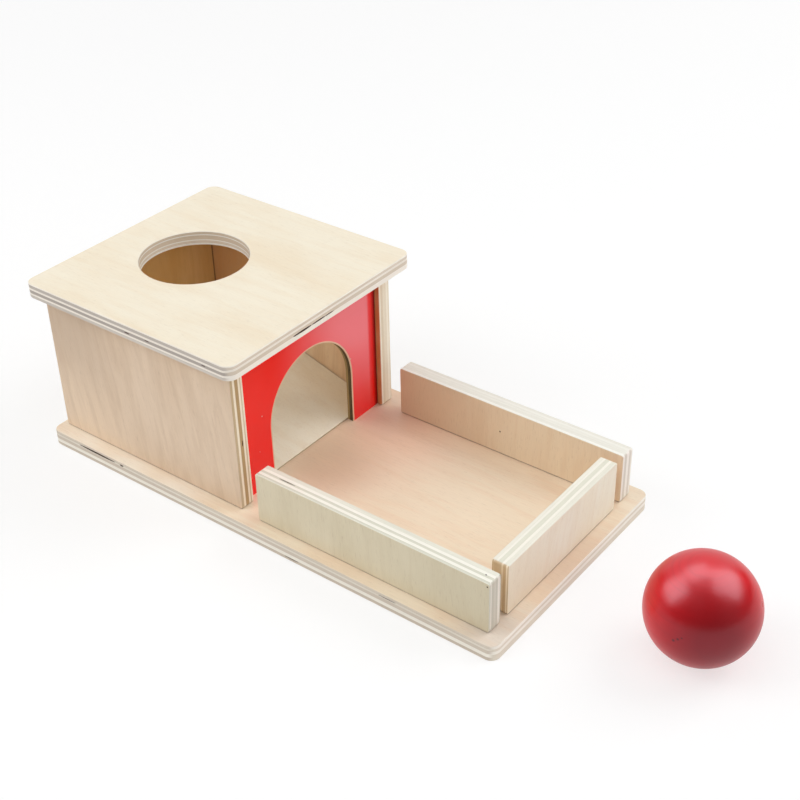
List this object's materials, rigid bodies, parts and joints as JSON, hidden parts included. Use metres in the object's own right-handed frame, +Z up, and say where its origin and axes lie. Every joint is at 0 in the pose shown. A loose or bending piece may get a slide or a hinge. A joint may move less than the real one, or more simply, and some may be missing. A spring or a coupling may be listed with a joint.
{
  "type": "object permanence box",
  "caption": "Wooden posting toy: a ball dropped through the round hole in the lid rolls down a ramp and out of a red arched doorway into a shallow tray.",
  "frame": {"origin": "centre of the base board's underside, on the surface that the toy stands on", "axes": "+X along the base board from the box towards the tray's end, +Y across it, +Z up"},
  "size_m": [0.3319, 0.12, 0.086],
  "materials": {
    "plywood": "sanded, unvarnished",
    "lid_plywood": "sanded, unvarnished",
    "thin_plywood": "sanded, unvarnished",
    "red_panel": "smooth red paint",
    "red_ball": "glossy red paint",
    "screw_steel": "zinc plated",
    "dowel_beech": "bare"
  },
  "bodies": {
    "box": {"base_board": "plywood", "near_side_wall": "plywood", "far_side_wall": "plywood", "arch_panel": "red_panel", "back_panel": "thin_plywood", "lid": "lid_plywood", "ramp": "thin_plywood", "ramp_rest": "plywood", "near_tray_rail": "plywood", "far_tray_rail": "plywood", "end_tray_rail": "plywood", "wall_screws": "screw_steel", "rail_screws": "screw_steel", "lid_dowels": "dowel_beech"},
    "ball": {"ball": "red_ball"}
  },
  "joints": [
    {"name": "ball_lift", "type": "slide", "parent": "box", "child": "ball", "axis": [0, 0, 1], "range_m": [0, 0.11]}
  ]
}
